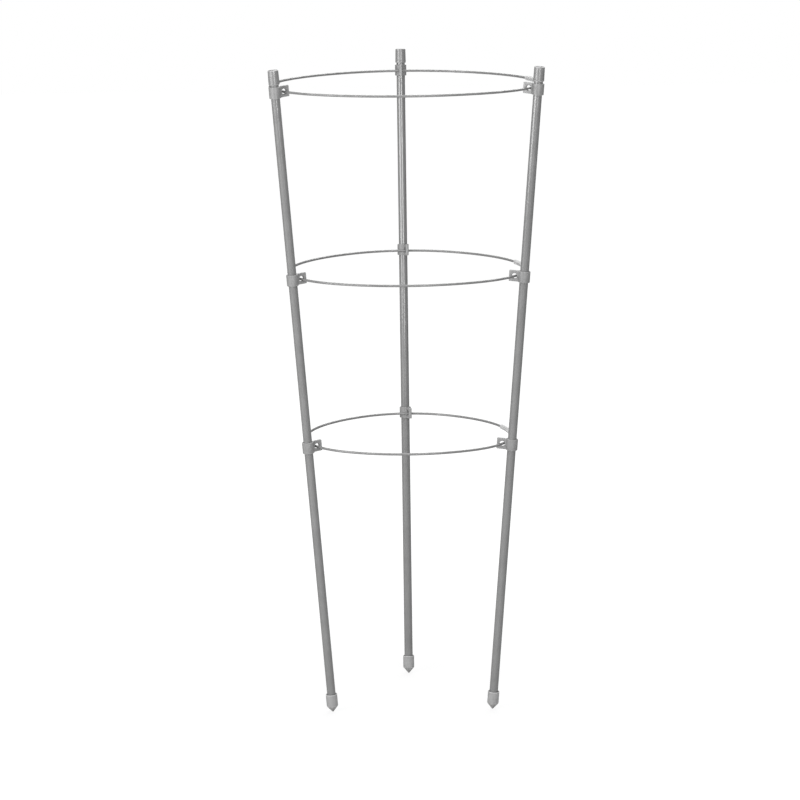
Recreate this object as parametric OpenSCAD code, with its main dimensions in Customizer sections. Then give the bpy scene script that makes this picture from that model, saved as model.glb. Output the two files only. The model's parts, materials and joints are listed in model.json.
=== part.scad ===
// Plant cage: three splayed coated stakes, nine clips that slide on them and
// three wire rings threaded through the clips. Millimetres, +Z up. The tips
// stand on z = 0, and the Z axis is the middle of the cage.

/* [Stakes] */
// Outside diameter of the plastic coat
stake_d = 8; // [7:0.5:12]
// Thickness of the plastic coat
coat_wall = 0.5; // [0.3:0.1:0.8]
// Wall of the steel tube inside the coat
tube_wall = 0.5; // [0.3:0.1:0.8]
// Length of the steel tube and of its coat
stake_length = 600; // [500:10:900]
// Radius of the circle that the three tips stand on
tip_circle_r = 87; // [75:1:100]
// Radius of the circle through the middles of the three cap ends
cap_circle_r = 139; // [125:1:155]

/* [Caps] */
// Wall of the cap at its open rim
cap_wall = 1; // [0.8:0.1:2]
// How much smaller the cap's radius is at its closed end
cap_taper = 0.2; // [0:0.1:0.6]
// Depth of the socket that takes the stake's top
cap_socket = 11; // [6:0.5:20]
// Thickness of the closed end
cap_end = 2.4; // [1.6:0.1:4]
// Rounding of the edge of the closed end
cap_edge_r = 0.6; // [0.3:0.1:1.4]
// Rounding of the outside of the open rim
cap_rim_r = 0.7; // [0.2:0.1:0.75]

/* [Feet] */
// Wall of the foot round the stake
foot_wall = 1.35; // [0.8:0.05:2.5]
// Depth of the socket that takes the stake's lower end
foot_socket = 9.8; // [6:0.2:20]
// Thickness of the socket's floor
foot_floor = 1; // [0.6:0.1:3]
// Length of the point below the barrel
foot_point = 6.6; // [5:0.2:12]
// Rounding of the shoulder between the barrel and the point
foot_shoulder_r = 2; // [1:0.1:3]
// Radius of the ball that rounds the tip
tip_r = 0.8; // [0.4:0.1:1.5]
// Thickness of the lip at the foot's mouth, which is wider than the stake
foot_lip = 0.6; // [0.5:0.05:0.75]
// Depth of the mouth's funnel down to the stake
foot_mouth = 2.4; // [1:0.2:4]
// Rounding of the outside of the lip
foot_rim_r = 0.4; // [0.2:0.05:0.5]

/* [Clips] */
// Wall of the collar round the stake
collar_wall = 1.35; // [1:0.05:2.5]
// Length of the collar along the stake
collar_h = 10.4; // [8:0.2:16]
// Rounding of the collar's outer edges
collar_edge_r = 0.5; // [0.2:0.1:0.8]
// Running clearance between the collar's bore and the stake
collar_clearance = 0.08; // [0.04:0.01:0.1]
// Thickness of the flat tab
tab_t = 2.4; // [1.6:0.1:3.2]
// Diameter of the eye that the wire passes through
eye_d = 5; // [4.8:0.1:5.6]
// Distance from the collar's outside to the middle of the eye
eye_standoff = 3.5; // [3.4:0.1:5]
// Plastic round the eye, above, below and at the tab's end
tab_margin = 2.6; // [1.5:0.1:2.8]
// Rounding of the two free corners of the tab
tab_corner_r = 0.5; // [0.3:0.1:1.1]
// Fillet between the tab and the collar
tab_fillet_r = 1; // [0.5:0.1:1.5]
// Turn about its stake of the top clip at the right
top_right_turn_deg = 5; // [0:1:10]
// Turn about its stake of the middle clip at the right
middle_right_turn_deg = 18; // [0:1:20]
// Turn about its stake of the lower clip at the right
lower_right_turn_deg = 20; // [0:1:22]
// Turn about its stake of the top clip at the back
top_back_turn_deg = -2; // [-5:1:5]
// Turn about its stake of the middle clip at the back
middle_back_turn_deg = 16; // [0:1:18]
// Turn about its stake of the lower clip at the back
lower_back_turn_deg = 20; // [0:1:22]

/* [Rings] */
// Diameter of the ring wire
wire_d = 2.2; // [1.6:0.1:2.4]
// Gap between the wire and the inner edge of the eye that it pulls on
seat_gap = 0.55; // [0.3:0.05:0.7]
// How far the wire hangs below the middle of the eye
wire_drop = 0.6; // [0:0.1:0.9]
// How much nearer to the cage's middle a ring runs midway between two stakes
ring_flat = 7; // [1:0.5:9]
// Gap between the cap's rim and the top clip's collar
cap_gap = 1.8; // [0.5:0.1:20]
// Drop from the top ring to the middle ring
upper_bay = 172.5; // [100:0.5:190]
// Drop from the middle ring to the lower ring
lower_bay = 158; // [100:1:180]
// Gap between the two ends of a ring's wire, inside its sleeve
wire_end_gap = 1; // [0.5:0.1:3]

/* [Ring sleeves] */
// Outside diameter of the clear sleeve that joins a ring's ends
sleeve_d = 4.2; // [3.6:0.1:4.8]
// Length of the sleeve along the wire
sleeve_length = 26; // [20:1:36]
// Clearance between the sleeve's bore and the wire
sleeve_clearance = 0.06; // [0.04:0.01:0.1]
// Direction of the middle of the top ring's sleeve, from the centre of its arc
top_sleeve_az = 15; // [13:1:45]
// Direction of the middle of the middle ring's sleeve, from the centre of its arc
middle_sleeve_az = 13; // [13:1:45]
// Direction of the middle of the lower ring's sleeve, from the centre of its arc
lower_sleeve_az = 14; // [14:1:45]

/* [Hidden] */
$fn = 64;

// Directions of the three stakes, in degrees, seen from above
left_az = 210;
right_az = 330;
back_az = 90;

// Rings, counted from the top
TOP = 0;
MIDDLE = 1;
LOWER = 2;
right_turn_degs = [top_right_turn_deg, middle_right_turn_deg, lower_right_turn_deg];
back_turn_degs = [top_back_turn_deg, middle_back_turn_deg, lower_back_turn_deg];
sleeve_azs = [top_sleeve_az, middle_sleeve_az, lower_sleeve_az];

// Each cut runs this far past the face that it opens
overrun = 1;
arc_steps = 6;

// Places along a stake's own axis, measured up from the bottom of its tip
stake_r = stake_d / 2;
tube_start = foot_point + foot_floor;
tube_end = tube_start + stake_length;
stake_total = tube_end + cap_end;
cap_rim = tube_end - cap_socket;
foot_rim = tube_start + foot_socket;

// Lean of the stakes from the upright, turned about the ball of the tip
lean = asin((cap_circle_r - tip_circle_r) / (stake_total - tip_r));

// Clip sizes, measured from the stake's axis
collar_bore_r = stake_r + collar_clearance;
collar_r = collar_bore_r + collar_wall;
eye_reach = collar_r + eye_standoff;
tab_reach = eye_reach + eye_d / 2 + tab_margin;
tab_h = eye_d + 2 * tab_margin;

// Heights of the rings above the ground, and the clips' places along their stakes
top_clip_at = cap_rim - cap_gap - collar_h / 2;
top_ring_z = tip_r + (top_clip_at - tip_r) * cos(lean) + eye_reach * sin(lean) - wire_drop;
ring_zs = [top_ring_z, top_ring_z - upper_bay, top_ring_z - upper_bay - lower_bay];
function clip_at(ring) = tip_r + (ring_zs[ring] + wire_drop - tip_r - eye_reach * sin(lean)) / cos(lean);

// A ring's wire pulls on the inner edge of the eye that is turned the most
function seat_reach(turn) =
    (eye_reach + eye_d / 2 - seat_gap) * cos(turn) - wire_d / 2 - tab_t / 2 * sin(turn);
function most_turn(ring) = max(abs(right_turn_degs[ring]), abs(back_turn_degs[ring]));
function ring_r(ring) =
    tip_circle_r + (clip_at(ring) - tip_r) * sin(lean) - seat_reach(most_turn(ring)) * cos(lean);

// The stakes pull a ring into six arcs: a bend at each clip, a flatter span between two.
// A bend and the span across from it share a centre, in the direction of that bend's stake.
stake_azs = [left_az, right_az, back_az];
arc_deg = 360 / 6;
centre_shift = ring_flat / (2 - sqrt(3));
function bend_r(ring) = ring_r(ring) - centre_shift;
function span_r(ring) = bend_r(ring) + centre_shift * sqrt(3);

// Angle that a length along a ring's span takes up
function span_angle(length, ring) = length / span_r(ring) * 180 / PI;

// A span's ends lap into the bends, whose wire is larger in radius by the skin
lap = 1.2;
lap_skin = 0.02;

// Points of a round corner from one direction to another
function corner(middle, r, from, to) =
    [for (step = [0 : arc_steps]) middle + r * [
        cos(from + (to - from) * step / arc_steps),
        sin(from + (to - from) * step / arc_steps)
    ]];

// Puts a piece drawn upright, with its tip's bottom at the origin, on one stake
module on_stake(direction) {
    rotate([0, 0, direction])
        translate([tip_circle_r, 0, tip_r])
            rotate([0, lean, 0])
                translate([0, 0, -tip_r])
                    children();
}

// Steel tube, open at both ends
module stake_tube() {
    tube_r = stake_r - coat_wall;
    color("silver")
        translate([0, 0, tube_start])
            difference() {
                cylinder(r = tube_r, h = stake_length);
                translate([0, 0, -overrun])
                    cylinder(r = tube_r - tube_wall, h = stake_length + 2 * overrun);
            }
}

// Plastic coat drawn over the steel tube
module stake_coat() {
    color("dimgray")
        translate([0, 0, tube_start])
            difference() {
                cylinder(r = stake_r, h = stake_length);
                translate([0, 0, -overrun])
                    cylinder(r = stake_r - coat_wall, h = stake_length + 2 * overrun);
            }
}

// Tapered cap pushed over the top of the stake
module top_cap() {
    rim_r = stake_r + cap_wall;
    end_r = rim_r - cap_taper;
    rim = corner([rim_r - cap_rim_r, cap_rim + cap_rim_r], cap_rim_r, -90, 0);
    edge = corner([end_r - cap_edge_r, stake_total - cap_edge_r], cap_edge_r, 0, 90);
    color("darkgray")
        difference() {
            rotate_extrude()
                polygon(concat([[0, cap_rim]], rim, edge, [[0, stake_total]]));
            translate([0, 0, cap_rim - overrun])
                cylinder(r = stake_r, h = cap_socket + overrun);
        }
}

// Pointed foot with a socket for the lower end of the stake
module foot() {
    foot_r = stake_r + foot_wall;
    // The cone's side touches both the tip's ball and the shoulder's round
    shoulder_x = foot_r - foot_shoulder_r;
    cone_h = foot_point - tip_r;
    half_angle = acos((tip_r - foot_shoulder_r) / norm([shoulder_x, cone_h])) - atan2(cone_h, shoulder_x);
    ball_edge = [tip_r * cos(half_angle), tip_r - tip_r * sin(half_angle)];
    shoulder = corner([shoulder_x, foot_point], foot_shoulder_r, -half_angle, 0);
    lip = corner([foot_r - foot_rim_r, foot_rim - foot_rim_r], foot_rim_r, 0, 90);
    funnel_floor = foot_rim - foot_mouth;
    funnel = [[foot_r - foot_lip, foot_rim], [stake_r, funnel_floor], [0, funnel_floor]];
    color("darkgray")
        difference() {
            union() {
                rotate_extrude()
                    polygon(concat([[0, ball_edge[1]], ball_edge], shoulder, lip, funnel));
                translate([0, 0, tip_r])
                    sphere(r = tip_r);
            }
            translate([0, 0, tube_start])
                cylinder(r = stake_r, h = foot_socket + overrun);
        }
}

// Collar with rounded edges, middle at the origin
module collar() {
    edge_x = collar_r - collar_edge_r;
    edge_z = collar_h / 2 - collar_edge_r;
    rotate_extrude()
        polygon(concat(
            [[0, -collar_h / 2]],
            corner([edge_x, -edge_z], collar_edge_r, -90, 0),
            corner([edge_x, edge_z], collar_edge_r, 0, 90),
            [[0, collar_h / 2]]
        ));
}

// Flat tab from the stake's axis out to its rounded end, along -X
module tab() {
    corner_x = tab_reach - tab_corner_r;
    corner_z = tab_h / 2 - tab_corner_r;
    rotate([90, 0, 180])
        translate([0, 0, -tab_t / 2])
            linear_extrude(tab_t)
                polygon(concat(
                    [[0, -tab_h / 2]],
                    corner([corner_x, -corner_z], tab_corner_r, -90, 0),
                    corner([corner_x, corner_z], tab_corner_r, 0, 90),
                    [[0, tab_h / 2]]
                ));
}

// Fillets on both sides of the tab's root
module tab_fillets() {
    fillet_y = tab_t / 2 + tab_fillet_r;
    fillet_x = sqrt(pow(collar_r + tab_fillet_r, 2) - pow(fillet_y, 2));
    for (side = [0, 1])
        mirror([0, side, 0])
            translate([0, 0, -tab_h / 2])
                linear_extrude(tab_h)
                    difference() {
                        polygon([[0, 0], [-fillet_x, 0], [-fillet_x, fillet_y]]);
                        translate([-fillet_x, fillet_y])
                            circle(r = tab_fillet_r);
                    }
}

// One clip on its stake: the collar's bore runs on the stake, the eye holds the wire
module clip(ring, turn = 0) {
    color("darkgray")
        translate([0, 0, clip_at(ring)])
            rotate([0, 0, turn])
                difference() {
                    union() {
                        collar();
                        tab();
                        tab_fillets();
                    }
                    translate([0, 0, -collar_h / 2 - overrun])
                        cylinder(r = collar_bore_r, h = collar_h + 2 * overrun);
                    translate([-eye_reach, tab_t / 2 + overrun, 0])
                        rotate([90, 0, 0])
                            cylinder(d = eye_d, h = tab_t + 2 * overrun);
                }
}

// Sweeps a profile along an arc of a ring, round the centre that lies towards one stake
module ring_arc(ring, stake_az, r, from, to) {
    translate([centre_shift * cos(stake_az), centre_shift * sin(stake_az), ring_zs[ring]])
        rotate([0, 0, from])
            rotate_extrude(angle = to - from)
                translate([r, 0])
                    children();
}

// Wire ring, open by a small gap in the middle of its sleeve
module wire_ring(ring) {
    gap = span_angle(wire_end_gap, ring);
    first_end = 360 + sleeve_azs[ring] - gap / 2;
    second_end = first_end + gap;
    half_bend = arc_deg / 2;
    half_span = half_bend + span_angle(lap, ring);
    color("gray")
        union() {
            for (az = stake_azs)
                ring_arc(ring, az, bend_r(ring), az - half_bend, az + half_bend)
                    circle(d = wire_d + 2 * lap_skin);
            for (az = [right_az, back_az])
                ring_arc(ring, az, span_r(ring), az + 180 - half_span, az + 180 + half_span)
                    circle(d = wire_d);
            ring_arc(ring, left_az, span_r(ring), left_az + 180 - half_span, first_end)
                circle(d = wire_d);
            ring_arc(ring, left_az, span_r(ring), second_end, left_az + 180 + half_span)
                circle(d = wire_d);
        }
}

// Clear sleeve pushed over both ends of a ring's wire
module sleeve(ring) {
    half = span_angle(sleeve_length, ring) / 2;
    color("whitesmoke", 0.6)
        ring_arc(ring, left_az, span_r(ring), sleeve_azs[ring] - half, sleeve_azs[ring] + half)
            difference() {
                circle(d = sleeve_d);
                circle(d = wire_d + 2 * sleeve_clearance);
            }
}

on_stake(left_az) stake_tube();  // left_stake_tube
on_stake(left_az) stake_coat();  // left_stake_coat
on_stake(left_az) top_cap();  // left_top_cap
on_stake(left_az) foot();  // left_foot

on_stake(right_az) stake_tube();  // right_stake_tube
on_stake(right_az) stake_coat();  // right_stake_coat
on_stake(right_az) top_cap();  // right_top_cap
on_stake(right_az) foot();  // right_foot

on_stake(back_az) stake_tube();  // back_stake_tube
on_stake(back_az) stake_coat();  // back_stake_coat
on_stake(back_az) top_cap();  // back_top_cap
on_stake(back_az) foot();  // back_foot

wire_ring(TOP);  // top_ring
sleeve(TOP);  // top_ring_sleeve
on_stake(left_az) clip(TOP);  // top_left_clip
on_stake(right_az) clip(TOP, top_right_turn_deg);  // top_right_clip
on_stake(back_az) clip(TOP, top_back_turn_deg);  // top_back_clip

wire_ring(MIDDLE);  // middle_ring
sleeve(MIDDLE);  // middle_ring_sleeve
on_stake(left_az) clip(MIDDLE);  // middle_left_clip
on_stake(right_az) clip(MIDDLE, middle_right_turn_deg);  // middle_right_clip
on_stake(back_az) clip(MIDDLE, middle_back_turn_deg);  // middle_back_clip

wire_ring(LOWER);  // lower_ring
sleeve(LOWER);  // lower_ring_sleeve
on_stake(left_az) clip(LOWER);  // lower_left_clip
on_stake(right_az) clip(LOWER, lower_right_turn_deg);  // lower_right_clip
on_stake(back_az) clip(LOWER, lower_back_turn_deg);  // lower_back_clip
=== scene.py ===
# %% [markdown]
# # A plant cage on a white studio floor
# The cage stands on three coated stakes that lean outwards. Nine moulded clips
# slide on them and hold three wire rings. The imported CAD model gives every
# place and size, so this lesson starts by loading it as a fixed frame. Each
# visible piece is then made again with finer edges and its own surface.

# %% Load the frame
import json
import math
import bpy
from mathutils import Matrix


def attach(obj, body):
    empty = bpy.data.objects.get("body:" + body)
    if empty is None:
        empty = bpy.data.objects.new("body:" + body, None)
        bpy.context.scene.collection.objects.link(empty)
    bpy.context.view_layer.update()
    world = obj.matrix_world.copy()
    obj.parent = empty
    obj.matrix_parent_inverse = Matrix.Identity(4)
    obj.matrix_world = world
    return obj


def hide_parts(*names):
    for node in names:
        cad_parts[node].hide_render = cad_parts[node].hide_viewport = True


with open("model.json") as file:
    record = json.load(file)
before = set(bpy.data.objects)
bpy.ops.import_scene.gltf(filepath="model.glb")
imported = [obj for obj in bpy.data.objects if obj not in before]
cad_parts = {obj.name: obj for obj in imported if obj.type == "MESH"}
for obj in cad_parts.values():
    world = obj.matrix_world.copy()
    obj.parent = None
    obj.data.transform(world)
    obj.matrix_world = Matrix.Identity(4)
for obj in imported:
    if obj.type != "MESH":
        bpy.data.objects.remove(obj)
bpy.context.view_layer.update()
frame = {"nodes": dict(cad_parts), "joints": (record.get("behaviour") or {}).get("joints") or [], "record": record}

from types import SimpleNamespace

import bmesh
import bpy
import numpy as np
from mathutils import Matrix, Vector

MM = 0.001

# %% [markdown]
# ## Camera
# The picture was taken with a long lens from about three metres away, a little
# above the top ring. The camera comes first, because every later choice is
# judged through it. A camera could be aimed by a constraint. Here its three
# axes are worked out from pan, tilt and roll, so that nothing moves it later.

# %% Camera's axes
CAMERA_PAN = math.radians(-0.1427)
CAMERA_TILT = math.radians(10.910)
CAMERA_ROLL = math.radians(-0.671)
upright = Vector((0, 0, 1))
level_right = Vector((math.cos(CAMERA_PAN), -math.sin(CAMERA_PAN), 0))
level_ahead = Vector((math.sin(CAMERA_PAN), math.cos(CAMERA_PAN), 0))
ahead = level_ahead * math.cos(CAMERA_TILT) - upright * math.sin(CAMERA_TILT)
above = level_ahead * math.sin(CAMERA_TILT) + upright * math.cos(CAMERA_TILT)
right = level_right * math.cos(CAMERA_ROLL) + above * math.sin(CAMERA_ROLL)
up = above * math.cos(CAMERA_ROLL) - level_right * math.sin(CAMERA_ROLL)
print("camera looks along", [round(v, 3) for v in ahead])

# %% Camera at the photograph's angle
LENS_MM = 148.85
SENSOR_MM = 36.0
CAMERA_DISTANCE = 3.05519
CAMERA_HEIGHT = 0.87877
CAMERA_ROUND = math.radians(-1.491)
scene = bpy.context.scene
camera_data = bpy.data.cameras.new("photo_camera")
camera_data.lens = LENS_MM
camera_data.sensor_width = SENSOR_MM
camera = bpy.data.objects.new("photo_camera", camera_data)
scene.collection.objects.link(camera)
camera_axes = Matrix((right, up, -ahead)).transposed().to_4x4()
camera_place = Matrix.Translation((0, -CAMERA_DISTANCE, CAMERA_HEIGHT))
camera.matrix_world = Matrix.Rotation(CAMERA_ROUND, 4, "Z") @ camera_place @ camera_axes
scene.camera = camera
print("camera at", [round(v, 3) for v in camera.matrix_world.translation])

# %% [markdown]
# ## Where the stakes stand
# Each stake is a straight tube, so a point on it and its direction say where it
# is. The clips slide along the stakes, which makes the slides' axes the stakes'
# directions, and the foot mounts lie on the stakes. A piece on a stake is drawn
# upright at the origin and then carried to its stake. Its local Z then runs
# along the stake, which the materials use to draw lengthwise lines.

# %% Stakes from the frame
STAKES = ("left", "right", "back")
RINGS = ("top", "middle", "lower")
joint_of = {joint["name"]: joint for joint in frame["joints"]}
mount_of = {mount["name"]: mount for mount in frame["record"]["mounts"]}


def stake_matrix(stake):
    """Puts local Z on the stake's axis and local X away from the cage's middle."""
    along = Vector(joint_of[f"top_{stake}_clip_slide"]["axis"]).normalized()
    point = Vector(mount_of[f"{stake}_foot_pin"]["pos_m"])
    start = point - along * (point.z / along.z)
    across = upright.cross(Vector((start.x, start.y, 0))).normalized()
    axes = Matrix((across.cross(along), across, along)).transposed().to_4x4()
    return Matrix.Translation(start) @ axes


on_stake = {stake: stake_matrix(stake) for stake in STAKES}
for stake in STAKES:
    print(stake, "foot at", [round(v, 4) for v in on_stake[stake].translation])


# %% Measure a node along its stake
def node_points(node):
    """The node's vertices in the frame's axes."""
    return np.array([v.co for v in frame["nodes"][node].data.vertices])


def local_points(node, place):
    """The node's vertices in the stake's own axes."""
    back = np.array(place.inverted())
    return node_points(node) @ back[:3, :3].T + back[:3, 3]


def span_and_radius(node, place):
    """Lowest and highest place along the stake, and the largest radius."""
    points = local_points(node, place)
    radius = np.hypot(points[:, 0], points[:, 1]).max()
    return points[:, 2].min(), points[:, 2].max(), radius


coat_low, coat_high, coat_r = span_and_radius("left_stake_coat", on_stake["left"])
tube_r = span_and_radius("left_stake_tube", on_stake["left"])[2]
print("coat", round(coat_low, 4), "to", round(coat_high, 4), "radius", round(coat_r, 5))

# %% [markdown]
# ## Turned pieces
# Coats, caps, feet and collars are all round, so one helper turns a profile
# about the stake's axis. Blender's Screw modifier could do the same. Making the
# rings of vertices directly keeps the mesh even and closed, and a point on the
# axis stays a single vertex instead of a tiny hole.

# %% Round corners
CORNER_STEPS = 5


def rounding(middle, radius, start, end, steps=CORNER_STEPS):
    """Points of a round corner, from one direction to another, in degrees."""
    x, y = middle
    angles = np.radians(np.linspace(start, end, steps + 1))
    return [(x + radius * math.cos(a), y + radius * math.sin(a)) for a in angles]


print("a round corner has", len(rounding((0, 0), MM, 0, 90)), "points")

# %% Lathe helper
LATHE_SIDES = 64
# A smaller radius counts as a point on the axis.
ON_AXIS = 1e-9


def skin_over(mesh, rows, closed):
    """Lays faces between rows of vertices. Beside a single point they have three corners."""
    sides = len(rows[0])
    pairs = list(zip(rows, rows[1:])) + ([(rows[-1], rows[0])] if closed else [])
    for low, high in pairs:
        for k in range(sides):
            corners = (low[k], low[k - sides + 1], high[k - sides + 1], high[k])
            mesh.faces.new(list(dict.fromkeys(corners)))
    bmesh.ops.recalc_face_normals(mesh, faces=mesh.faces)


def turned(profile, sides=LATHE_SIDES, closed=False):
    """A lathe mesh of (radius, height) points. A closed profile makes a ring."""
    mesh = bmesh.new()
    turns = [2 * math.pi * k / sides for k in range(sides)]
    rows = []
    for radius, height in profile:
        if radius < ON_AXIS:
            rows.append([mesh.verts.new((0, 0, height))] * sides)
        else:
            points = [(radius * math.cos(a), radius * math.sin(a), height) for a in turns]
            rows.append([mesh.verts.new(point) for point in points])
    skin_over(mesh, rows, closed)
    return mesh


print("a turned piece has", LATHE_SIDES, "sides")

# %% Piece helper
SHARP_DEGREES = 32


def make_piece(name, mesh, place, material, body, node):
    """Turns a mesh into a smooth piece that stands for one CAD node."""
    data = bpy.data.meshes.new(name)
    mesh.to_mesh(data)
    mesh.free()
    data.shade_smooth()
    data.set_sharp_from_angle(angle=math.radians(SHARP_DEGREES))
    data.materials.append(material)
    piece = bpy.data.objects.new(name, data)
    piece.matrix_world = place
    scene.collection.objects.link(piece)
    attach(piece, body)
    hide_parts(node)


print("edges over", SHARP_DEGREES, "degrees stay sharp")


# %% [markdown]
# ## Colours and nodes
# The photograph has no hue, so every colour is a grey. Hex values are read as
# sRGB, the way a colour picker shows them, and turned linear once. One small
# function adds a node with its settings and its links. A noise's scale says how
# many of its features fit in a metre, so it follows from a size in millimetres.


# %% Colour and node helpers
def linear(hex_colour):
    """An sRGB hex colour as linear RGBA."""
    values = [int(hex_colour[i:i + 2], 16) / 255 for i in (1, 3, 5)]
    return [v / 12.92 if v <= 0.04045 else ((v + 0.055) / 1.055) ** 2.4 for v in values] + [1.0]


def add(tree, kind, settings=None, **inputs):
    """Adds a node. An input is a value, or another node's output to link. It goes by
    its label, with _ for a space, or by i and its number where labels repeat."""
    node = tree.nodes.new(kind)
    for name, value in (settings or {}).items():
        setattr(node, name, value)
    for name, value in inputs.items():
        numbered = name[0] == "i" and name[1:].isdigit()
        socket = node.inputs[int(name[1:]) if numbered else name.replace("_", " ")]
        if isinstance(value, bpy.types.NodeSocket):
            tree.links.new(value, socket)
        else:
            socket.default_value = value
    return node


def new_material(name):
    """A material without nodes, and the node tree to fill."""
    material = bpy.data.materials.new(name)
    material.use_nodes = True
    material.node_tree.nodes.clear()
    return material, material.node_tree


def per_metre(size_mm):
    """Noise scale that gives features of about this size."""
    return 1 / (size_mm * MM)


print("hex 808080 is", round(linear("#808080")[0], 3), "in linear light")

# %% [markdown]
# ## Stake coat: extruded polyethylene
# The steel tube runs through a die that lays a thin polyethylene coat round it.
# The die leaves faint lengthwise lines, and the wax-like plastic cools to a
# satin skin with slow changes of gloss. The lines come from a noise stretched
# along local Z. An image texture could do it, but it would need unwrapping.

# %% Sizes and greys of the coat's skin
# Real die lines and grain are about a third of this and would vanish in the render.
DIE_LINE_MM = 0.7
SKIN_GRAIN_MM = 0.45
DIE_LINE_LENGTH_MM = 160
BLOTCH_MM = 22
COAT_GREYS = ("#7e7e7e", "#8a8a8a")
COAT_ROUGH = (0.14, 0.19)
# Polyethylene is near 1.51. A little more fits the stakes' bright highlights.
COAT_IOR = 1.6
LINES_IN_COLOUR = 0.35
GRAIN_IN_HEIGHT = 0.4
COAT_BUMP = 0.05
COAT_BUMP_MM = 0.05
# Most of a noise lies in this range, so a ramp's two greys stand at its ends.
NOISE_RANGE = (0.3, 0.7)
line_scale = [per_metre(size) for size in (DIE_LINE_MM, DIE_LINE_MM, DIE_LINE_LENGTH_MM)]
print("coat lines", DIE_LINE_MM, "mm apart")

# %% Extruded polyethylene
coat_plastic, tree = new_material("extruded_grey_polyethylene")
local = add(tree, "ShaderNodeTexCoord").outputs["Object"]
line_place = add(tree, "ShaderNodeMapping", Vector=local, Scale=line_scale)
lines = add(tree, "ShaderNodeTexNoise", Vector=line_place.outputs["Vector"],
            Scale=1.0, Detail=1.0)
blotches = add(tree, "ShaderNodeTexNoise", Vector=local, Scale=per_metre(BLOTCH_MM), Detail=2.0)
grain = add(tree, "ShaderNodeTexNoise", Vector=local, Scale=per_metre(SKIN_GRAIN_MM), Detail=1.0)
tone = add(tree, "ShaderNodeMix", {"data_type": "FLOAT"}, i0=LINES_IN_COLOUR,
           i2=blotches.outputs["Fac"], i3=lines.outputs["Fac"])
colour = add(tree, "ShaderNodeValToRGB", Fac=tone.outputs[0])
for stop, place, grey in zip(colour.color_ramp.elements, NOISE_RANGE, COAT_GREYS):
    stop.position, stop.color = place, linear(grey)
gloss = add(tree, "ShaderNodeMapRange", Value=blotches.outputs["Fac"],
            To_Min=COAT_ROUGH[0], To_Max=COAT_ROUGH[1])
height = add(tree, "ShaderNodeMix", {"data_type": "FLOAT"}, i0=GRAIN_IN_HEIGHT,
             i2=lines.outputs["Fac"], i3=grain.outputs["Fac"])
bump = add(tree, "ShaderNodeBump", Strength=COAT_BUMP, Distance=COAT_BUMP_MM * MM,
           Height=height.outputs[0])
skin = add(tree, "ShaderNodeBsdfPrincipled", Base_Color=colour.outputs["Color"],
           Roughness=gloss.outputs["Result"], IOR=COAT_IOR, Normal=bump.outputs["Normal"])
add(tree, "ShaderNodeOutputMaterial", Surface=skin.outputs["BSDF"])
print(coat_plastic.name, "nodes", len(tree.nodes))

# %% [markdown]
# ## Caps and feet: moulded polyethylene
# Caps and feet come from a polished mould, in a slightly paler grey than the
# coat. The skin is satin, with a faint cloudiness where the melt met. The outer
# edges are painted paler: a little of it is handling wear, most is a painted
# highlight where the rounded rims catch the light. Such a mark could be painted
# by hand. The mesh's own pointiness gives it on every edge, also after a change
# of shape.

# %% Moulded plastic
CLOUD_MM = 6
# Pointiness is 0.5 on a flat face and rises on an outer edge.
EDGE_POINTINESS = (0.512, 0.535)
MOULDED_BUMP = 0.06
MOULDED_IOR = 1.51


def moulded_plastic(name, greys, edge_wear_and_highlight_grey, grain_mm, grain_depth_mm, rough):
    """Satin moulded plastic with cloudy colour, fine grain, and edges painted paler as wear and highlight."""
    material, tree = new_material(name)
    local = add(tree, "ShaderNodeTexCoord").outputs["Object"]
    cloud = add(tree, "ShaderNodeTexNoise", Vector=local, Scale=per_metre(CLOUD_MM), Detail=1.5)
    grain = add(tree, "ShaderNodeTexNoise", Vector=local, Scale=per_metre(grain_mm), Detail=1.0)
    colour = add(tree, "ShaderNodeValToRGB", Fac=cloud.outputs["Fac"])
    for stop, place, grey in zip(colour.color_ramp.elements, NOISE_RANGE, greys):
        stop.position, stop.color = place, linear(grey)
    shape = add(tree, "ShaderNodeNewGeometry")
    edge = add(tree, "ShaderNodeMapRange", Value=shape.outputs["Pointiness"],
               From_Min=EDGE_POINTINESS[0], From_Max=EDGE_POINTINESS[1])
    # Painted highlight: the outer edges turn paler, a little as handling wear, mostly as light caught on the rims.
    wear_and_highlight = add(tree, "ShaderNodeMix", {"data_type": "RGBA"}, i0=edge.outputs["Result"],
               i6=colour.outputs["Color"], i7=linear(edge_wear_and_highlight_grey))
    gloss = add(tree, "ShaderNodeMapRange", Value=cloud.outputs["Fac"],
                To_Min=rough[0], To_Max=rough[1])
    bump = add(tree, "ShaderNodeBump", Strength=MOULDED_BUMP, Distance=grain_depth_mm * MM,
               Height=grain.outputs["Fac"])
    skin = add(tree, "ShaderNodeBsdfPrincipled", Base_Color=wear_and_highlight.outputs[2],
               Roughness=gloss.outputs["Result"], IOR=MOULDED_IOR, Normal=bump.outputs["Normal"])
    add(tree, "ShaderNodeOutputMaterial", Surface=skin.outputs["BSDF"])
    print(name, "nodes", len(tree.nodes))
    return material


# %% Moulded polyethylene
# A polished mould leaves grain of about 0.1 mm. It is drawn coarser, so that it shows.
# The third grey is the edges': a little handling wear and mostly a painted highlight.
cap_plastic = moulded_plastic("moulded_grey_polyethylene_cap", ("#848484", "#8c8c8c"), "#b0b0b0",
                              grain_mm=0.5, grain_depth_mm=0.03, rough=(0.20, 0.26))
foot_plastic = moulded_plastic("moulded_grey_polyethylene_foot", ("#9c9c9c", "#a6a6a6"), "#dcdcdc",
                               grain_mm=0.5, grain_depth_mm=0.04, rough=(0.30, 0.40))

# %% [markdown]
# ## Clips: moulded polypropylene
# The clips are stiffer polypropylene from a spark-eroded mould, which leaves a
# fine matt grain. The real grain is near 0.1 mm and would vanish in the render,
# so it is drawn about three times as coarse. The rest is made as on the caps, so
# the same function serves again with other values.

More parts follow.
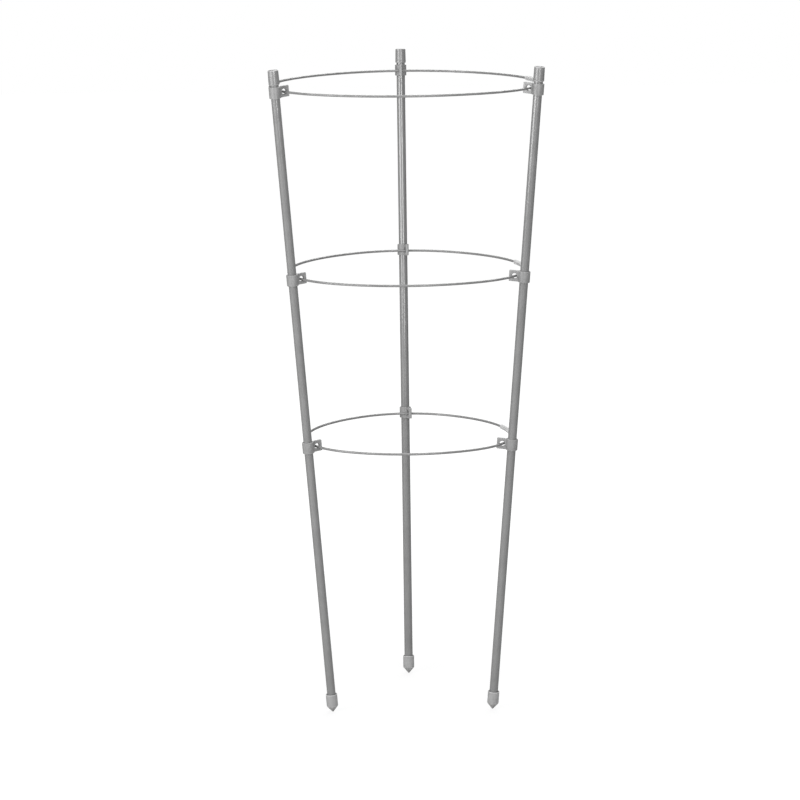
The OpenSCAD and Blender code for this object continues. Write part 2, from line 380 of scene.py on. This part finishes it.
# %% Moulded polypropylene
# The third grey is the edges': a little handling wear and mostly a painted highlight.
clip_plastic = moulded_plastic("moulded_grey_polypropylene_clip", ("#888888", "#929292"), "#9c9c9c",
                               grain_mm=0.3, grain_depth_mm=0.05, rough=(0.34, 0.44))

# %% [markdown]
# ## Ring wire: plastic-coated steel
# The rings are steel wire with a thin grey plastic coat. The coat is glossy, so
# the top of each wire is bright from the light overhead and its lower side stays
# dark. The coat runs through a die, which leaves slow changes of gloss along it.
# Bare plated wire was the other choice, but it mirrors the lamps as white lines.

# %% Plastic-coated steel wire
SMUDGE_MM = 9
# Real pits are about a third of this and would vanish in the render.
PIT_MM = 0.6
WIRE_GREYS = ("#7a7a7a", "#868686")
WIRE_ROUGH = (0.20, 0.28)
# Such plastics are near 1.53. A little more fits the wires' bright tops.
WIRE_IOR = 1.6
WIRE_BUMP = 0.04
WIRE_BUMP_MM = 0.03
wire_coat, tree = new_material("grey_plastic_coated_steel_wire")
local = add(tree, "ShaderNodeTexCoord").outputs["Object"]
smudges = add(tree, "ShaderNodeTexNoise", Vector=local, Scale=per_metre(SMUDGE_MM), Detail=3.0)
pits = add(tree, "ShaderNodeTexNoise", Vector=local, Scale=per_metre(PIT_MM), Detail=1.0)
colour = add(tree, "ShaderNodeValToRGB", Fac=smudges.outputs["Fac"])
for stop, place, grey in zip(colour.color_ramp.elements, NOISE_RANGE, WIRE_GREYS):
    stop.position, stop.color = place, linear(grey)
gloss = add(tree, "ShaderNodeMapRange", Value=smudges.outputs["Fac"],
            To_Min=WIRE_ROUGH[0], To_Max=WIRE_ROUGH[1])
bump = add(tree, "ShaderNodeBump", Strength=WIRE_BUMP, Distance=WIRE_BUMP_MM * MM,
           Height=pits.outputs["Fac"])
skin = add(tree, "ShaderNodeBsdfPrincipled", Base_Color=colour.outputs["Color"],
           Roughness=gloss.outputs["Result"], IOR=WIRE_IOR, Normal=bump.outputs["Normal"])
add(tree, "ShaderNodeOutputMaterial", Surface=skin.outputs["BSDF"])
print(wire_coat.name, "nodes", len(tree.nodes))

# %% [markdown]
# ## Sleeves: milky soft PVC
# A short piece of soft tubing joins the two ends of each ring. Soft PVC is never
# quite clear: it scatters most of the light, so the wire inside is only a faint
# grey band. A volume shader could give that haze, but it is slow and grainy on so
# small a tube. Transmission well below one leaves the same share of milky white.

# %% Soft PVC tube
HAZE_MM = 4
SLEEVE_GREYS = ("#dadada", "#e2e2e2")
SLEEVE_ROUGH = (0.28, 0.38)
SLEEVE_IOR = 1.53
SLEEVE_CLEARNESS = 0.3
sleeve_plastic, tree = new_material("milky_soft_pvc_tube")
local = add(tree, "ShaderNodeTexCoord").outputs["Object"]
haze = add(tree, "ShaderNodeTexNoise", Vector=local, Scale=per_metre(HAZE_MM), Detail=2.0)
colour = add(tree, "ShaderNodeValToRGB", Fac=haze.outputs["Fac"])
for stop, grey in zip(colour.color_ramp.elements, SLEEVE_GREYS):
    stop.color = linear(grey)
gloss = add(tree, "ShaderNodeMapRange", Value=haze.outputs["Fac"],
            To_Min=SLEEVE_ROUGH[0], To_Max=SLEEVE_ROUGH[1])
skin = add(tree, "ShaderNodeBsdfPrincipled", Base_Color=colour.outputs["Color"],
           Roughness=gloss.outputs["Result"], IOR=SLEEVE_IOR, Transmission_Weight=SLEEVE_CLEARNESS)
add(tree, "ShaderNodeOutputMaterial", Surface=skin.outputs["BSDF"])
print(sleeve_plastic.name, "lets through", SLEEVE_CLEARNESS)

# %% [markdown]
# ## Stake tubes: drawn steel
# The thin steel tube inside each coat is out of sight. It could be turned again
# like the coats. Its CAD shape is right, so the node stays and only gets a
# drawn-steel surface, whose lengthwise lines come from the drawing die.

# %% Drawn steel on the CAD tubes
STEEL_GREYS = ("#a8a8a8", "#c4c4c4")
STEEL_ROUGH = (0.25, 0.45)
drawn_steel, tree = new_material("drawn_steel_tube")
local = add(tree, "ShaderNodeTexCoord").outputs["Object"]
line_place = add(tree, "ShaderNodeMapping", Vector=local, Scale=line_scale)
lines = add(tree, "ShaderNodeTexNoise", Vector=line_place.outputs["Vector"],
            Scale=1.0, Detail=4.0)
colour = add(tree, "ShaderNodeValToRGB", Fac=lines.outputs["Fac"])
for stop, grey in zip(colour.color_ramp.elements, STEEL_GREYS):
    stop.color = linear(grey)
gloss = add(tree, "ShaderNodeMapRange", Value=lines.outputs["Fac"],
            To_Min=STEEL_ROUGH[0], To_Max=STEEL_ROUGH[1])
skin = add(tree, "ShaderNodeBsdfPrincipled", Base_Color=colour.outputs["Color"],
           Metallic=1.0, Roughness=gloss.outputs["Result"])
add(tree, "ShaderNodeOutputMaterial", Surface=skin.outputs["BSDF"])
for stake in STAKES:
    tube = frame["nodes"][f"{stake}_stake_tube"].data
    tube.materials.clear()
    tube.materials.append(drawn_steel)
print(drawn_steel.name, "on", len(STAKES), "tubes")

# %% [markdown]
# ## Stake coats
# A coat is one long sleeve of plastic round its tube, cut square at both ends.
# The profile is closed, so the lathe makes the bore and the cut ends too. Extra
# rows along the length cost little and keep the faces from being slivers.

# %% Coats
COAT_ROWS = 60
COAT_SIDES = 48
heights = np.linspace(coat_low, coat_high, COAT_ROWS + 1)
coat_profile = [(coat_r, h) for h in heights] + [(tube_r, h) for h in heights[::-1]]
for stake in STAKES:
    make_piece(f"{stake}_coat", turned(coat_profile, COAT_SIDES, closed=True), on_stake[stake],
               coat_plastic, "stakes", f"{stake}_stake_coat")
print("coats", len(STAKES), "rows", COAT_ROWS)

# %% [markdown]
# ## Caps
# A cap is a small closed tube pushed over the stake. Its rim is rounded so that
# it doesn't catch the plant ties, its end is slightly crowned, and the mould's
# gate left a small round dimple in the middle. A bevelled cylinder would give the
# rim. One turned profile gives the crown, the dimple and the socket as well.

# %% Sizes of the caps
CAP_RIM_R = 0.7 * MM
CAP_EDGE_R = 0.6 * MM
CAP_EDGE_DEGREES = 80
CAP_TAPER = 0.2 * MM
CROWN = 0.15 * MM
CROWN_MIDWAY, CROWN_MIDWAY_DROP = 0.6, 0.3
GATE_R = 0.9 * MM
GATE_DEPTH = 0.12 * MM
GATE_RIM, GATE_RIM_DROP, GATE_FLOOR = 1.2, 0.2, 0.8
# A row of vertices beside each rounding keeps its painted pale edge narrow.
EDGE_ROW = 0.5 * MM
cap_low, cap_high, cap_r = span_and_radius("left_top_cap", on_stake["left"])
cap_top = cap_high - CROWN
end_r = cap_r - CAP_TAPER
print("cap", round((cap_high - cap_low) / MM, 2), "mm long, radius", round(cap_r / MM, 2))

# %% Caps
cap_profile = [(0, coat_high), (coat_r, coat_high), (coat_r, cap_low)]
cap_profile += rounding((cap_r - CAP_RIM_R, cap_low + CAP_RIM_R), CAP_RIM_R, -90, 0)
cap_profile += [(cap_r, cap_low + CAP_RIM_R + EDGE_ROW), (end_r, cap_top - CAP_EDGE_R - EDGE_ROW)]
cap_profile += rounding((end_r - CAP_EDGE_R, cap_top - CAP_EDGE_R), CAP_EDGE_R, 0, CAP_EDGE_DEGREES)
cap_profile += [(CROWN_MIDWAY * end_r, cap_high - CROWN_MIDWAY_DROP * CROWN)]
cap_profile += [(GATE_RIM * GATE_R, cap_high), (GATE_R, cap_high - GATE_RIM_DROP * GATE_DEPTH)]
cap_profile += [(GATE_FLOOR * GATE_R, cap_high - GATE_DEPTH), (0, cap_high - GATE_DEPTH)]
for stake in STAKES:
    make_piece(f"{stake}_cap", turned(cap_profile), on_stake[stake],
               cap_plastic, "stakes", f"{stake}_top_cap")
print("caps", len(STAKES), "points in the profile", len(cap_profile))

# %% [markdown]
# ## Feet
# A foot is pressed over the lower end of the stake and points into the soil. Its
# mouth opens like a funnel with a thin rounded lip, so a dark line shows round
# the stake. Below the barrel a rounded shoulder leads into the blunt point. The
# cone could be drawn by eye. Here it is the line that touches both roundings.

# %% Sizes of the feet
LIP = 0.5 * MM
LIP_R = 0.38 * MM
LIP_INNER_R = 0.1 * MM
MOUTH_DEPTH = 2.4 * MM
POINT_LENGTH = 6.6 * MM
SHOULDER_R = 2.0 * MM
TIP_R = 0.8 * MM
TIP_END_DEGREES = -85
foot_low, foot_high, foot_r = span_and_radius("left_foot", on_stake["left"])
barrel_low = foot_low + POINT_LENGTH
shoulder_x = foot_r - SHOULDER_R
cone_height = POINT_LENGTH - TIP_R
apart = math.hypot(shoulder_x, cone_height)
cone_slope = math.acos((TIP_R - SHOULDER_R) / apart) - math.atan2(cone_height, shoulder_x)
cone_deg = math.degrees(cone_slope)
print("foot", round((foot_high - foot_low) / MM, 2), "mm long, cone", round(cone_deg, 1), "degrees")

# %% Feet
lip_middle = (foot_r - LIP + LIP_INNER_R, foot_high - LIP_INNER_R)
foot_profile = [(0, coat_low), (coat_r, coat_low), (coat_r, foot_high - MOUTH_DEPTH)]
foot_profile += rounding(lip_middle, LIP_INNER_R, 180, 90, steps=3)
foot_profile += rounding((foot_r - LIP_R, foot_high - LIP_R), LIP_R, 90, 0, steps=6)
foot_profile += [(foot_r, foot_high - LIP_R - EDGE_ROW), (foot_r, barrel_low + EDGE_ROW)]
foot_profile += rounding((shoulder_x, barrel_low), SHOULDER_R, 0, -cone_deg, steps=8)
foot_profile += rounding((0, foot_low + TIP_R), TIP_R, -cone_deg, TIP_END_DEGREES)
foot_profile += [(0, foot_low)]
for stake in STAKES:
    make_piece(f"{stake}_point", turned(foot_profile), on_stake[stake],
               foot_plastic, "stakes", f"{stake}_foot")
print("feet", len(STAKES), "points in the profile", len(foot_profile))

# %% [markdown]
# ## Clips
# A clip is one moulding: a collar that slides on the stake, and a flat tab with
# an eye for the wire. The collar is turned on the lathe. The tab is an outline
# pulled up into a bar with flared roots, its edges are rounded, the eye is cut,
# and a boolean joins the two. Rounding comes before joining, because a bevel on
# a plain bar is clean, while one across a joint seldom is.

# %% Sizes of the clips
TAB_THICK = 2.4 * MM
TAB_HEIGHT = 10.2 * MM
TAB_MARGIN = 2.6 * MM
EYE_R = 2.5 * MM
clip_points = local_points("top_left_clip", on_stake["left"])
bore_r = np.hypot(clip_points[:, 0], clip_points[:, 1]).min()
collar_h = clip_points[:, 2].max() - clip_points[:, 2].min()
collar_r = np.abs(clip_points[:, 1]).max()
tab_end = -clip_points[:, 0].min()
eye_x = tab_end - EYE_R - TAB_MARGIN
print("collar", round(collar_r / MM, 3), "bore", round(bore_r / MM, 3),
      "tab to", round(tab_end / MM, 3))

# %% Collar
COLLAR_EDGE_R = 0.5 * MM
BORE_CHAMFER = 0.15 * MM
COLLAR_SIDES = 96


def collar_mesh():
    """The collar, turned about its stake and centred on the origin."""
    end = collar_h / 2
    x, z = collar_r - COLLAR_EDGE_R, end - COLLAR_EDGE_R
    profile = [(bore_r, -end + BORE_CHAMFER), (bore_r + BORE_CHAMFER, -end)]
    profile += rounding((x, -z), COLLAR_EDGE_R, -90, 0)
    profile += [(collar_r, -z + EDGE_ROW), (collar_r, z - EDGE_ROW)]
    profile += rounding((x, z), COLLAR_EDGE_R, 0, 90)
    profile += [(bore_r + BORE_CHAMFER, end), (bore_r, end - BORE_CHAMFER)]
    return turned(profile, COLLAR_SIDES, closed=True)


print("collar", round(collar_h / MM, 2), "mm tall")

# %% Outline of the tab
FILLET_R = 1.0 * MM
FILLET_STEPS = 6
# The tab starts inside the collar's wall, so that the two join without a gap.
root_x = 0.5 * (bore_r + collar_r)


def tab_outline():
    """The tab from above: a bar along -X, whose roots flare into the collar."""
    half = TAB_THICK / 2
    fillet_y = half + FILLET_R
    fillet_x = math.sqrt((collar_r + FILLET_R) ** 2 - fillet_y ** 2)
    touch = math.degrees(math.atan2(fillet_y, fillet_x))
    flare = rounding((-fillet_x, fillet_y), FILLET_R, -touch, -90, FILLET_STEPS)
    side = [(-root_x, flare[0][1])] + flare + [(-tab_end, half)]
    return side + [(x, -y) for x, y in reversed(side)]


print("tab outline has", len(tab_outline()), "points")

# %% Tab with rounded edges
TAB_CORNER_R = 0.5 * MM
TAB_EDGE_R = 0.25 * MM
RIM_ANGLE = math.radians(60)
ROUND_PROFILE = 0.5
NEAR = 1e-6


def tab_mesh():
    """The outline pulled up into a bar, with round end corners and soft rims."""
    mesh = bmesh.new()
    base = mesh.faces.new([mesh.verts.new((x, y, -TAB_HEIGHT / 2)) for x, y in tab_outline()])
    raised = bmesh.ops.extrude_face_region(mesh, geom=[base])["geom"]
    lifted = [v for v in raised if isinstance(v, bmesh.types.BMVert)]
    bmesh.ops.translate(mesh, verts=lifted, vec=(0, 0, TAB_HEIGHT))
    bmesh.ops.recalc_face_normals(mesh, faces=mesh.faces)
    corners = [e for e in mesh.edges if all(abs(v.co.x + tab_end) < NEAR for v in e.verts)
               and abs(e.verts[0].co.z - e.verts[1].co.z) < NEAR]
    bmesh.ops.bevel(mesh, geom=corners, offset=TAB_CORNER_R, segments=5, profile=ROUND_PROFILE,
                    affect="EDGES")
    rims = [e for e in mesh.edges if e.calc_face_angle(0) > RIM_ANGLE
            and max(v.co.x for v in e.verts) < -root_x - NEAR]
    bmesh.ops.bevel(mesh, geom=rims, offset=TAB_EDGE_R, segments=3, profile=ROUND_PROFILE,
                    affect="EDGES", clamp_overlap=True)
    bmesh.ops.recalc_face_normals(mesh, faces=mesh.faces)
    return mesh


print("tab", round(TAB_THICK / MM, 2), "mm thick and", round(TAB_HEIGHT / MM, 2), "mm tall")

# %% Cutter for the eye
EYE_EDGE_R = 0.2 * MM
EYE_EDGE_STEPS = 4
EYE_SIDES = 56
CUTTER_FLANGE = 0.4 * MM
CUTTER_OVER = 1.0 * MM


def eye_cutter():
    """A spool that cuts the eye and rounds both of its rims."""
    half = TAB_THICK / 2
    rim = EYE_R + EYE_EDGE_R
    flange, end = rim + CUTTER_FLANGE, half + CUTTER_OVER
    profile = [(0, -end), (flange, -end), (flange, -half)]
    profile += rounding((rim, -half + EYE_EDGE_R), EYE_EDGE_R, 270, 180, EYE_EDGE_STEPS)
    profile += rounding((rim, half - EYE_EDGE_R), EYE_EDGE_R, 180, 90, EYE_EDGE_STEPS)
    profile += [(flange, half), (flange, end), (0, end)]
    mesh = turned(profile, EYE_SIDES)
    turn = Matrix.Translation((-eye_x, 0, 0)) @ Matrix.Rotation(math.radians(90), 4, "X")
    bmesh.ops.transform(mesh, matrix=turn, verts=mesh.verts)
    return mesh


print("eye", round(2 * EYE_R / MM, 2), "mm across")

# %% Join the tab to the collar and cut the eye
# A boolean can leave a corner twice. Corners nearer than this become one.
WELD = 0.002 * MM


def helper_object(name, mesh):
    """A plain object without a material, such as a tool for a boolean."""
    data = bpy.data.meshes.new(name)
    mesh.to_mesh(data)
    mesh.free()
    item = bpy.data.objects.new(name, data)
    scene.collection.objects.link(item)
    return item


def clip_mesh():
    """One clip, centred on its stake with the tab along -X."""
    body = helper_object("clip_collar", collar_mesh())
    tools = [(helper_object("clip_tab", tab_mesh()), "UNION"),
             (helper_object("clip_eye", eye_cutter()), "DIFFERENCE")]
    for tool, operation in tools:
        cut = body.modifiers.new(operation, "BOOLEAN")
        cut.object, cut.operation, cut.solver = tool, operation, "EXACT"
    mesh = bmesh.new()
    mesh.from_object(body, bpy.context.evaluated_depsgraph_get())
    bmesh.ops.remove_doubles(mesh, verts=mesh.verts, dist=WELD)
    bmesh.ops.recalc_face_normals(mesh, faces=mesh.faces)
    for item in [body] + [tool for tool, _ in tools]:
        bpy.data.objects.remove(item)
    return mesh


clip_master = clip_mesh()
open_edges = sum(not e.is_manifold for e in clip_master.edges)
print("clip faces", len(clip_master.faces), "open edges", open_edges,
      "volume mm3", round(clip_master.calc_volume() / MM ** 3, 1))

# %% Nine clips on their stakes
# What lies beyond this share of the tab's reach is its tip.
TAB_TIP = 0.9


def clip_place(node, stake):
    """Where a clip sits on its stake. The tip of its tab says how far it is turned."""
    points = local_points(node, on_stake[stake])
    middle = (points[:, 2].min() + points[:, 2].max()) / 2
    far = points[np.hypot(points[:, 0], points[:, 1]) > TAB_TIP * tab_end]
    turn = math.atan2(far[:, 1].mean(), far[:, 0].mean()) - math.pi
    return on_stake[stake] @ Matrix.Translation((0, 0, middle)) @ Matrix.Rotation(turn, 4, "Z")


for ring in RINGS:
    for stake in STAKES:
        node = f"{ring}_{stake}_clip"
        make_piece(f"{ring}_{stake}_clip_moulding", clip_master.copy(), clip_place(node, stake),
                   clip_plastic, node, node)
clip_master.free()
print("clips", len(RINGS) * len(STAKES))

# %% [markdown]
# ## Wire rings and sleeves
# A ring is a length of wire with a small gap between its two cut ends. The three
# stakes pull it into six arcs: a bend at each clip and a flatter span between
# two clips. Each arc takes up 60 degrees, so the direction in which the ring
# faces is enough to say where on it a place lies. A curve with a bevel could
# make the wire. A swept mesh gives rounded wire ends, and a sleeve with a real
# wall, which the clear plastic needs to bend light.

# %% Shape of the rings
RING_FLAT = 7.0 * MM
ARC = math.radians(60)
CENTRE_SHIFT = RING_FLAT / (2 - math.sqrt(3))
# Three centres serve six arcs: each for a bend, and for the span across the ring.
CENTRE_DEGREES = (210, 90, 330)
arc_centres = [CENTRE_SHIFT * Vector((math.cos(a), math.sin(a), 0))
               for a in np.radians(CENTRE_DEGREES)]


def arc_at(direction, seat_r):
    """Centre and radius of the arc where the ring faces a direction in radians."""
    sector = int(direction % (2 * math.pi) / ARC)
    bend_r = seat_r - CENTRE_SHIFT
    span_r = bend_r + CENTRE_SHIFT * math.sqrt(3)
    return arc_centres[sector % 3], (bend_r if sector % 2 else span_r)


print("arc centres lie", round(CENTRE_SHIFT / MM, 2), "mm from the middle")


# %% Sweep helper
def swept(seat_r, sections, sides, closed):
    """A skin over round sections of (direction, radius) along a ring."""
    mesh = bmesh.new()
    turns = [2 * math.pi * k / sides for k in range(sides)]
    rows = []
    for direction, radius in sections:
        centre, arc_r = arc_at(direction, seat_r)
        facing = Vector((math.cos(direction), math.sin(direction), 0))
        if radius < ON_AXIS:
            rows.append([mesh.verts.new(centre + facing * arc_r)] * sides)
        else:
            points = [centre + facing * (arc_r + radius * math.cos(a))
                      + upright * radius * math.sin(a) for a in turns]
            rows.append([mesh.verts.new(point) for point in points])
    skin_over(mesh, rows, closed)
    return mesh


# %% Measure a ring and its sleeve
def ring_shape(ring):
    """Sizes of a CAD ring, and of its sleeve from direction low to direction high."""
    wire, tube = node_points(f"{ring}_ring"), node_points(f"{ring}_ring_sleeve")
    wire_r = (wire[:, 2].max() - wire[:, 2].min()) / 2
    z = (wire[:, 2].max() + wire[:, 2].min()) / 2
    seat_r = np.hypot(wire[:, 0], wire[:, 1]).max() - wire_r
    tube_x, tube_y = tube[:, 0] - arc_centres[0].x, tube[:, 1] - arc_centres[0].y
    facing = np.arctan2(tube_y, tube_x)
    low, high = facing.min(), facing.max()
    span_r = arc_at(low, seat_r)[1]
    from_wire = np.hypot(np.hypot(tube_x, tube_y) - span_r, tube[:, 2] - z)
    return SimpleNamespace(z=z, wire_r=wire_r, seat_r=seat_r, span_r=span_r, low=low, high=high,
                           inner=from_wire.min(), outer=from_wire.max())


shapes = {ring: ring_shape(ring) for ring in RINGS}
for ring, shape in shapes.items():
    print(ring, "seat radius", round(shape.seat_r / MM, 2), "wire", round(2 * shape.wire_r / MM, 2),
          "sleeve", round(2 * shape.outer / MM, 2))

# %% Wire
WIRE_GAP = 1.0 * MM
WIRE_STEPS = 300
WIRE_SIDES = 24
END_ROUND = 0.3 * MM
# A cut end, as shares of END_ROUND along the wire and of the wire's radius.
WIRE_END = ((0.0, 0.0), (0.0, 0.75), (0.3, 0.93), (1.0, 1.0))


def wire_mesh(shape):
    """The wire, from one rounded end round the cage to the other."""
    half_gap = WIRE_GAP / 2 / shape.span_r
    joint = (shape.low + shape.high) / 2
    first, last = joint + half_gap, joint + 2 * math.pi - half_gap
    nose = END_ROUND / shape.span_r
    steps = np.linspace(first + nose, last - nose, WIRE_STEPS + 1)[1:-1]
    sections = [(first + nose * a, shape.wire_r * b) for a, b in WIRE_END]
    sections += [(a, shape.wire_r) for a in steps]
    sections += [(last - nose * a, shape.wire_r * b) for a, b in reversed(WIRE_END)]
    return swept(shape.seat_r, sections, WIRE_SIDES, closed=False)


print("wire ends", round(WIRE_GAP / MM, 2), "mm apart")

# %% Sleeve
SLEEVE_STEPS = 40
SLEEVE_SIDES = 48
SLEEVE_LIP = END_ROUND / 2


def sleeve_mesh(shape):
    """A short tube with a real wall over the two ends of the wire."""
    nose = SLEEVE_LIP / shape.span_r
    rim = shape.outer - SLEEVE_LIP
    steps = np.linspace(shape.low + nose, shape.high - nose, SLEEVE_STEPS + 1)
    sections = [(shape.low, shape.inner), (shape.low, rim)]
    sections += [(a, shape.outer) for a in steps]
    sections += [(shape.high, rim), (shape.high, shape.inner)]
    sections += [(a, shape.inner) for a in steps[::-1]]
    return swept(shape.seat_r, sections, SLEEVE_SIDES, closed=True)


print("sleeve edges rounded by", round(SLEEVE_LIP / MM, 2), "mm")

# %% Rings and sleeves on their bodies
for ring, shape in shapes.items():
    level = Matrix.Translation((0, 0, shape.z))
    make_piece(f"{ring}_wire", wire_mesh(shape), level,
               wire_coat, f"{ring}_ring", f"{ring}_ring")
    make_piece(f"{ring}_tube_sleeve", sleeve_mesh(shape), level,
               sleeve_plastic, f"{ring}_ring_sleeve", f"{ring}_ring_sleeve")
print("rings", len(shapes), "sleeves", len(shapes))

# %% [markdown]
# ## Floor
# The floor has to look white in the picture and still keep the cage's soft
# shadow. More light would make it white, but would bleach the cage too. So the
# camera sees a glowing floor with only a thin share of real paint, which takes
# the shadow. Glossy surfaces mirror a grey floor, and all other rays meet
# ordinary white paint.

# %% Sizes and greys of the floor
FLOOR_HALF = 6.0
FLOOR_CELLS = 8
ROLLER_MM = 3
FLOOR_GREYS = ("#d8d8d8", "#dcdcdc")
THIN_PAINT = "#606060"
MIRRORED_FLOOR = "#8c8c8c"
# Near the cage the glow stays under white, so that the shadow on the paint shows.
GLOW_NEAR, GLOW_FAR = 0.88, 1.0
GLOW_FROM, GLOW_TO = 0.12, 0.5
print("floor", 2 * FLOOR_HALF, "m across")

# %% Floor
floor_mesh = bmesh.new()
bmesh.ops.create_grid(floor_mesh, x_segments=FLOOR_CELLS, y_segments=FLOOR_CELLS, size=FLOOR_HALF)
floor = helper_object("studio_floor", floor_mesh)
floor_paint, tree = new_material("matt_white_floor_paint")
local = add(tree, "ShaderNodeTexCoord").outputs["Object"]
roller = add(tree, "ShaderNodeTexNoise", Vector=local, Scale=per_metre(ROLLER_MM), Detail=3.0)
colour = add(tree, "ShaderNodeValToRGB", Fac=roller.outputs["Fac"])
for stop, grey in zip(colour.color_ramp.elements, FLOOR_GREYS):
    stop.color = linear(grey)
paint = add(tree, "ShaderNodeBsdfDiffuse", Color=colour.outputs["Color"])
thin_paint = add(tree, "ShaderNodeBsdfDiffuse", Color=linear(THIN_PAINT))
away = add(tree, "ShaderNodeVectorMath", {"operation": "LENGTH"}, i0=local)
glow_level = add(tree, "ShaderNodeMapRange", Value=away.outputs["Value"], From_Min=GLOW_FROM,
                 From_Max=GLOW_TO, To_Min=GLOW_NEAR, To_Max=GLOW_FAR)
glow = add(tree, "ShaderNodeEmission", Strength=glow_level.outputs["Result"])
shown = add(tree, "ShaderNodeAddShader", i0=thin_paint.outputs[0], i1=glow.outputs[0])
mirrored = add(tree, "ShaderNodeBsdfDiffuse", Color=linear(MIRRORED_FLOOR))
ray = add(tree, "ShaderNodeLightPath")
unseen = add(tree, "ShaderNodeMixShader", i0=ray.outputs["Is Glossy Ray"],
             i1=paint.outputs[0], i2=mirrored.outputs[0])
seen = add(tree, "ShaderNodeMath", {"operation": "MAXIMUM"},
           i0=ray.outputs["Is Camera Ray"], i1=ray.outputs["Is Transmission Ray"])
surface = add(tree, "ShaderNodeMixShader", i0=seen.outputs[0],
              i1=unseen.outputs[0], i2=shown.outputs[0])
add(tree, "ShaderNodeOutputMaterial", Surface=surface.outputs[0])
# The glow is only there to be seen, so it is kept out of the lamps that light the cage.
floor_paint.cycles.emission_sampling = "NONE"
floor.data.materials.append(floor_paint)
print(floor_paint.name, "nodes", len(tree.nodes))

# %% [markdown]
# ## Room and lamps
# A picture of a studio could light the scene, but no picture is loaded here, so
# the room is a plain white world with soft boxes. A large one overhead gives an
# even light. Two stand in front, level with the caps, one to the left and one near
# the camera, and give each stake its two highlights. They end half-way down, so the
# highlights fade towards the feet, and a dim box under the left one softens that.
# One high behind lights the far sides, and stays above what the caps mirror. In a
# glossy surface the walls look dark, as they do in the photograph, which gives the
# round pieces their dark edges.

# %% World
ROOM_LIGHT = 0.08
ROOM_MIRRORED = 0.25
world = bpy.data.worlds.new("white_room")
scene.world = world
world.use_nodes = True
tree = world.node_tree
tree.nodes.clear()
ray = add(tree, "ShaderNodeLightPath")
seen = add(tree, "ShaderNodeMath", {"operation": "MAXIMUM"},
           i0=ray.outputs["Is Camera Ray"], i1=ray.outputs["Is Transmission Ray"])
walls = add(tree, "ShaderNodeMapRange", Value=ray.outputs["Is Glossy Ray"],
            To_Min=ROOM_LIGHT, To_Max=ROOM_MIRRORED)
brightest = add(tree, "ShaderNodeMath", {"operation": "MAXIMUM"},
                i0=seen.outputs[0], i1=walls.outputs["Result"])
room = add(tree, "ShaderNodeBackground", Color=(1, 1, 1, 1), Strength=brightest.outputs[0])
add(tree, "ShaderNodeOutputWorld", Surface=room.outputs[0])
print(world.name, "nodes", len(tree.nodes))


# %% Lamp helpers
def soft_box(name, place, aim, width, height, brightness):
    """An area lamp that faces a point. Brightness is what it looks like, with 1 as white."""
    data = bpy.data.lights.new(name, "AREA")
    data.shape = "RECTANGLE"
    data.size, data.size_y = width, height
    data.energy = brightness * math.pi * width * height
    lamp = bpy.data.objects.new(name, data)
    lamp.location = place
    lamp.rotation_euler = (Vector(aim) - Vector(place)).to_track_quat("-Z", "Y").to_euler()
    lamp.visible_camera = False
    scene.collection.objects.link(lamp)
    print(name, "at", [round(v, 2) for v in place])


def round_the_cage(degrees, distance, height):
    """A place round the cage, by its angle from the camera's side, to the right."""
    angle = math.radians(degrees)
    return (distance * math.sin(angle), -distance * math.cos(angle), height)


# %% Lamps
BOX_Z, LOW_BOX_Z = 0.62, 0.19
LEFT_DEGREES, FRONT_DEGREES, BACK_DEGREES = -53, 13, 165
soft_box("overhead_box", place=(0, -0.5, 1.9), aim=(0, -0.5, 0),
         width=1.6, height=2.4, brightness=1.6)
soft_box("left_box", place=round_the_cage(LEFT_DEGREES, 1.3, BOX_Z), aim=(0, 0, BOX_Z),
         width=1.0, height=0.54, brightness=7.2)
soft_box("left_low_box", place=round_the_cage(LEFT_DEGREES, 1.3, LOW_BOX_Z), aim=(0, 0, LOW_BOX_Z),
         width=1.0, height=0.30, brightness=0.5)
soft_box("front_box", place=round_the_cage(FRONT_DEGREES, 1.5, BOX_Z), aim=(0, 0, BOX_Z),
         width=0.5, height=0.54, brightness=11.0)
soft_box("back_box", place=round_the_cage(BACK_DEGREES, 1.25, 1.7), aim=(0, 0, 0.35),
         width=1.6, height=0.9, brightness=5.2)

# %% View settings
scene.view_settings.view_transform = "Standard"
print("view transform", scene.view_settings.view_transform)
